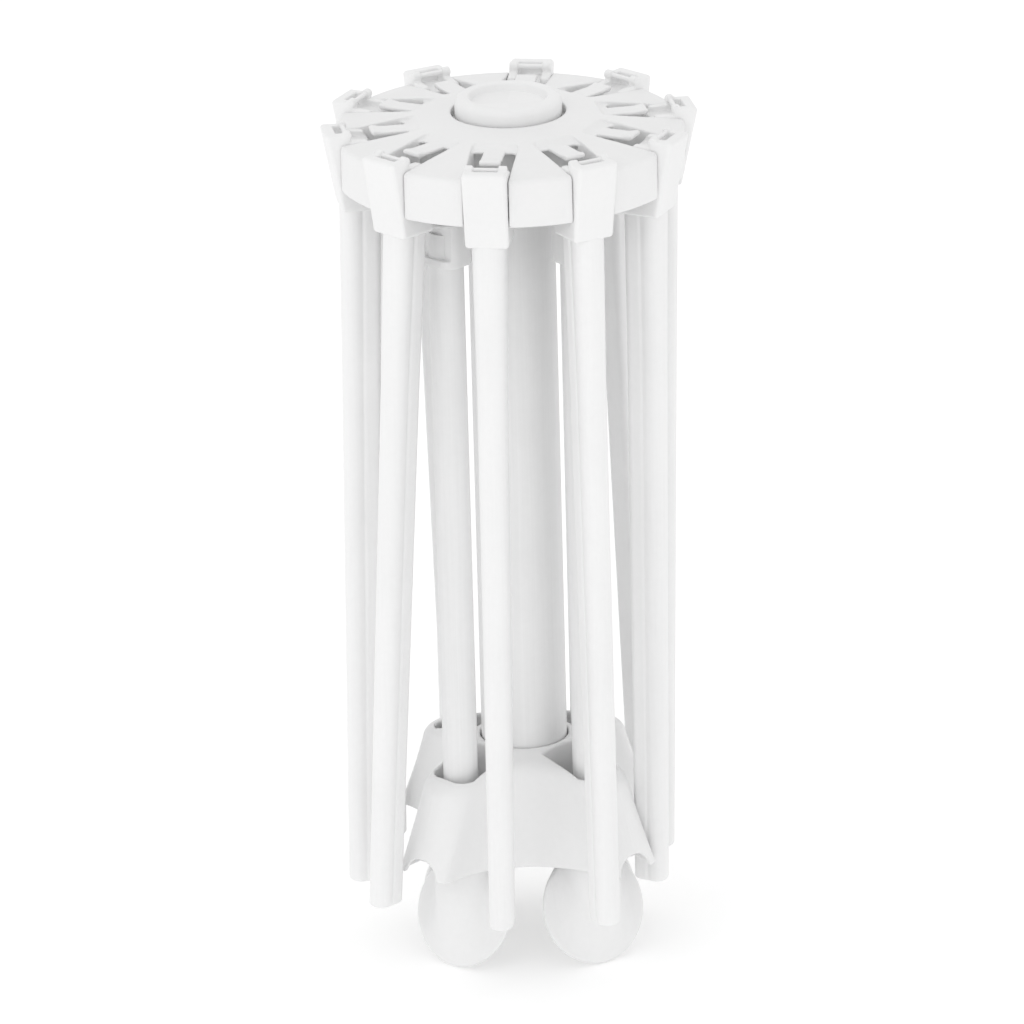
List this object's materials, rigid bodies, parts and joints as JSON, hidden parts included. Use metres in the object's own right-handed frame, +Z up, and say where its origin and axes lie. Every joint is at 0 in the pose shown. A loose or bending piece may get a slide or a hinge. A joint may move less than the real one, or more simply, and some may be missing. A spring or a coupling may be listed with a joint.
{
  "type": "folding rotary clothesline",
  "caption": "Portable rotary clothesline in its folded state: tapered arms hang from a slotted hub on a telescopic mast above a lobed skirt with drawn-up legs and round feet.",
  "frame": {"origin": "on the ground under the mast's axis, at the middle of the object's base", "axes": "+Z up along the mast, the longest extent; -Y is the front, midway between the two front legs"},
  "size_m": [0.2235, 0.2246, 0.5402],
  "materials": {
    "arm_plastic": "white satin moulded plastic",
    "hub_plastic": "white satin moulded plastic",
    "mast_plastic": "white satin drawn tube",
    "leg_plastic": "white satin drawn tube",
    "skirt_plastic": "white satin moulded plastic",
    "foot_plastic": "white satin moulded plastic",
    "bush_plastic": "natural white nylon",
    "pin_metal": "plain steel pins"
  },
  "bodies": {
    "base": {"mast_outer_tube": "mast_plastic", "mast_guide_bush": "bush_plastic", "mast_foot_plug": "bush_plastic", "skirt": "skirt_plastic"},
    "collar": {"mast_twist_collar": "hub_plastic"},
    "inner_mast": {"mast_inner_tube": "mast_plastic", "mast_slider_bush": "bush_plastic", "mast_cap": "hub_plastic", "thrust_washer": "bush_plastic"},
    "hub": {"hub_shell": "hub_plastic", "hub_bush": "bush_plastic", "arm_hinge_pins": "pin_metal"},
    "arm_01": {"arm_bracket_01": "arm_plastic", "arm_rod_01": "arm_plastic"},
    "arm_02": {"arm_bracket_02": "arm_plastic", "arm_rod_02": "arm_plastic"},
    "arm_03": {"arm_bracket_03": "arm_plastic", "arm_rod_03": "arm_plastic"},
    "arm_04": {"arm_bracket_04": "arm_plastic", "arm_rod_04": "arm_plastic"},
    "arm_05": {"arm_bracket_05": "arm_plastic", "arm_rod_05": "arm_plastic"},
    "arm_06": {"arm_bracket_06": "arm_plastic", "arm_rod_06": "arm_plastic"},
    "arm_07": {"arm_bracket_07": "arm_plastic", "arm_rod_07": "arm_plastic"},
    "arm_08": {"arm_bracket_08": "arm_plastic", "arm_rod_08": "arm_plastic"},
    "arm_09": {"arm_bracket_09": "arm_plastic", "arm_rod_09": "arm_plastic"},
    "arm_10": {"arm_bracket_10": "arm_plastic", "arm_rod_10": "arm_plastic"},
    "leg_front_left": {"leg_tube_front_left": "leg_plastic", "leg_head_front_left": "leg_plastic", "foot_front_left": "foot_plastic"},
    "leg_front_right": {"leg_tube_front_right": "leg_plastic", "leg_head_front_right": "leg_plastic", "foot_front_right": "foot_plastic"},
    "leg_back_right": {"leg_tube_back_right": "leg_plastic", "leg_head_back_right": "leg_plastic", "foot_back_right": "foot_plastic"},
    "leg_back_left": {"leg_tube_back_left": "leg_plastic", "leg_head_back_left": "leg_plastic", "foot_back_left": "foot_plastic"}
  },
  "joints": [
    {"name": "collar_twist", "type": "hinge", "parent": "base", "child": "collar", "pos_m": [0, 0, 0.47], "axis": [0, 0, 1], "range_deg": [0, 90]},
    {"name": "mast_extend", "type": "slide", "parent": "base", "child": "inner_mast", "axis": [0, 0, 1], "range_m": [0, 0.32]},
    {"name": "hub_spin", "type": "hinge", "parent": "inner_mast", "child": "hub", "pos_m": [0, 0, 0.492], "axis": [0, 0, 1], "range_deg": [-1, 1]},
    {"name": "arm_01_swing", "type": "hinge", "parent": "hub", "child": "arm_01", "pos_m": [-0.01405, -0.09749, 0.512], "axis": [-0.9898, 0.1426, 0], "range_deg": [0, 87]},
    {"name": "arm_02_swing", "type": "hinge", "parent": "hub", "child": "arm_02", "pos_m": [0.04594, -0.08713, 0.512], "axis": [-0.8846, -0.4664, 0], "range_deg": [0, 87]},
    {"name": "arm_03_swing", "type": "hinge", "parent": "hub", "child": "arm_03", "pos_m": [0.08838, -0.04349, 0.512], "axis": [-0.4415, -0.8973, 0], "range_deg": [0, 87]},
    {"name": "arm_04_swing", "type": "hinge", "parent": "hub", "child": "arm_04", "pos_m": [0.09706, 0.01677, 0.512], "axis": [0.1702, -0.9854, 0], "range_deg": [0, 87]},
    {"name": "arm_05_swing", "type": "hinge", "parent": "hub", "child": "arm_05", "pos_m": [0.06867, 0.07062, 0.512], "axis": [0.7169, -0.6972, 0], "range_deg": [0, 87]},
    {"name": "arm_06_swing", "type": "hinge", "parent": "hub", "child": "arm_06", "pos_m": [0.01405, 0.09749, 0.512], "axis": [0.9898, -0.1426, 0], "range_deg": [0, 87]},
    {"name": "arm_07_swing", "type": "hinge", "parent": "hub", "child": "arm_07", "pos_m": [-0.04594, 0.08713, 0.512], "axis": [0.8846, 0.4664, 0], "range_deg": [0, 87]},
    {"name": "arm_08_swing", "type": "hinge", "parent": "hub", "child": "arm_08", "pos_m": [-0.08838, 0.04349, 0.512], "axis": [0.4415, 0.8973, 0], "range_deg": [0, 87]},
    {"name": "arm_09_swing", "type": "hinge", "parent": "hub", "child": "arm_09", "pos_m": [-0.09706, -0.01677, 0.512], "axis": [-0.1702, 0.9854, 0], "range_deg": [0, 87]},
    {"name": "arm_10_swing", "type": "hinge", "parent": "hub", "child": "arm_10", "pos_m": [-0.06867, -0.07062, 0.512], "axis": [-0.7169, 0.6972, 0], "range_deg": [0, 87]},
    {"name": "leg_front_left_slide", "type": "slide", "parent": "base", "child": "leg_front_left", "axis": [0, 0, -1], "range_m": [0, 0.375]},
    {"name": "leg_front_right_slide", "type": "slide", "parent": "base", "child": "leg_front_right", "axis": [0, 0, -1], "range_m": [0, 0.375]},
    {"name": "leg_back_right_slide", "type": "slide", "parent": "base", "child": "leg_back_right", "axis": [0, 0, -1], "range_m": [0, 0.375]},
    {"name": "leg_back_left_slide", "type": "slide", "parent": "base", "child": "leg_back_left", "axis": [0.0209, 0, -0.9998], "range_m": [0, 0.375]}
  ]
}
